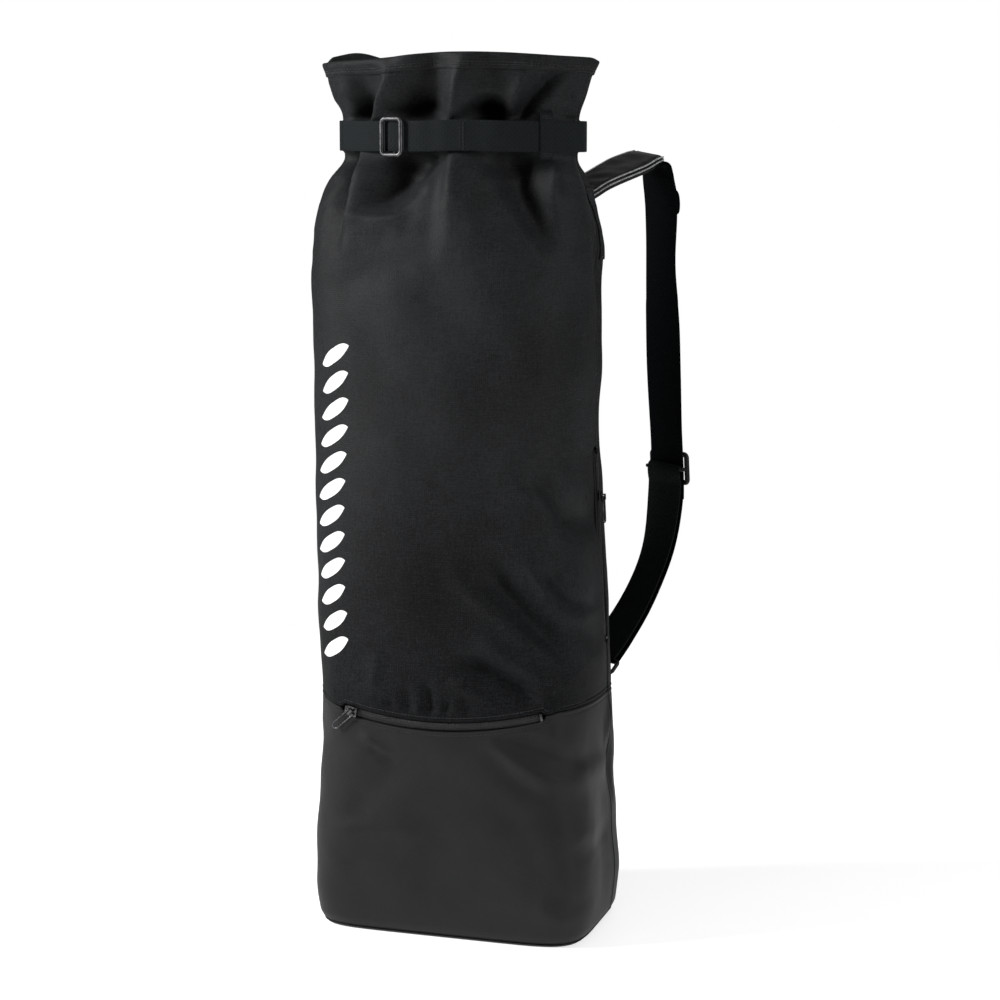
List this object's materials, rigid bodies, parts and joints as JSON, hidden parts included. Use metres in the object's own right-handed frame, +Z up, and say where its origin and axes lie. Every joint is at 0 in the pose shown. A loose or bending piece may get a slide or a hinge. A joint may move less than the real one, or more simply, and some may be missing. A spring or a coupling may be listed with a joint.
{
  "type": "cinch-neck storage bag",
  "caption": "Tall soft bag with a cinched, belted neck, coated base, front and side zip pockets and one adjustable shoulder strap",
  "frame": {"origin": "centre of the flat underside of the base", "axes": "+Z up, +X to the strap side, front with the zip pocket towards -Y"},
  "size_m": [0.2947, 0.258, 0.729],
  "materials": {
    "woven_cloth": "dense woven polyester, matt black",
    "coated_cloth": "smooth coated cloth with a fine leather grain, charcoal",
    "webbing": "ribbed polyester webbing, black",
    "zip_tape": "herringbone zip tape, black",
    "zip_coil": "nylon coil, black",
    "lining": "thin plain weave lining",
    "board": "plain board",
    "grey_metal": "satin grey plated wire",
    "dark_metal": "dark plated zinc with worn edges",
    "black_plastic": "black moulded plastic"
  },
  "bodies": {
    "bag": {"front_panel": "woven_cloth", "back_panel": "woven_cloth", "mouth_hem": "woven_cloth", "base_front": "coated_cloth", "base_back": "coated_cloth", "bottom_panel": "coated_cloth", "bottom_board": "board", "front_pocket_lining": "lining", "side_pocket_lining": "lining", "front_tape_upper": "zip_tape", "front_tape_lower": "zip_tape", "front_coil_upper": "zip_coil", "front_coil_lower": "zip_coil", "front_stop_left": "dark_metal", "front_stop_right": "dark_metal", "side_tape_front": "zip_tape", "side_tape_back": "zip_tape", "side_coil_front": "zip_coil", "side_coil_back": "zip_coil", "side_stop_top": "dark_metal", "side_stop_bottom": "dark_metal", "neck_belt": "webbing", "belt_fold": "webbing", "belt_keeper": "webbing", "back_keeper": "webbing", "strap_patch": "woven_cloth", "strap_root": "coated_cloth", "tab_stub": "webbing"},
    "front_slider": {"front_slider": "dark_metal"},
    "front_pull": {"front_pull": "dark_metal"},
    "side_slider": {"side_slider": "dark_metal"},
    "side_pull": {"side_pull": "dark_metal"},
    "neck_buckle": {"neck_buckle": "grey_metal"},
    "strap": {"strap_pad": "coated_cloth", "strap_webbing": "webbing", "strap_return": "webbing", "strap_loop": "webbing", "lower_ring": "grey_metal", "ring_tab": "webbing"},
    "strap_triglide": {"strap_triglide": "black_plastic"}
  },
  "joints": [
    {"name": "front_zip", "type": "hinge", "parent": "bag", "child": "front_slider", "pos_m": [-0.009, 0.12238, 0.38744], "axis": [0, -0.7266, 0.6871], "range_deg": [0, 32.5]},
    {"name": "front_pull_flip", "type": "hinge", "parent": "front_slider", "child": "front_pull", "pos_m": [-0.07955, -0.06704, 0.19051], "axis": [-0.6512, 0.1256, 0.7485], "range_deg": [0, 100]},
    {"name": "side_zip", "type": "slide", "parent": "bag", "child": "side_slider", "axis": [-0.0406, -0.0426, 0.9983], "range_m": [-0.116, 0.033]},
    {"name": "side_pull_flip", "type": "hinge", "parent": "side_slider", "child": "side_pull", "pos_m": [0.11282, 0.03119, 0.36813], "axis": [0.0017, -0.9991, -0.0426], "range_deg": [0, 150]},
    {"name": "belt_buckle", "type": "hinge", "parent": "bag", "child": "neck_buckle", "pos_m": [-0.0045, 0.1005, 0.669], "axis": [0, 0, 1], "range_deg": [-5, 5]},
    {"name": "strap_swing", "type": "hinge", "parent": "bag", "child": "strap", "pos_m": [0.084, 0.09, 0.4], "axis": [0, 0, 1], "range_deg": [-35, 60]},
    {"name": "strap_adjust", "type": "slide", "parent": "strap", "child": "strap_triglide", "axis": [-0.0364, -0.0582, 0.9976], "range_m": [-0.008, 0.095]}
  ]
}
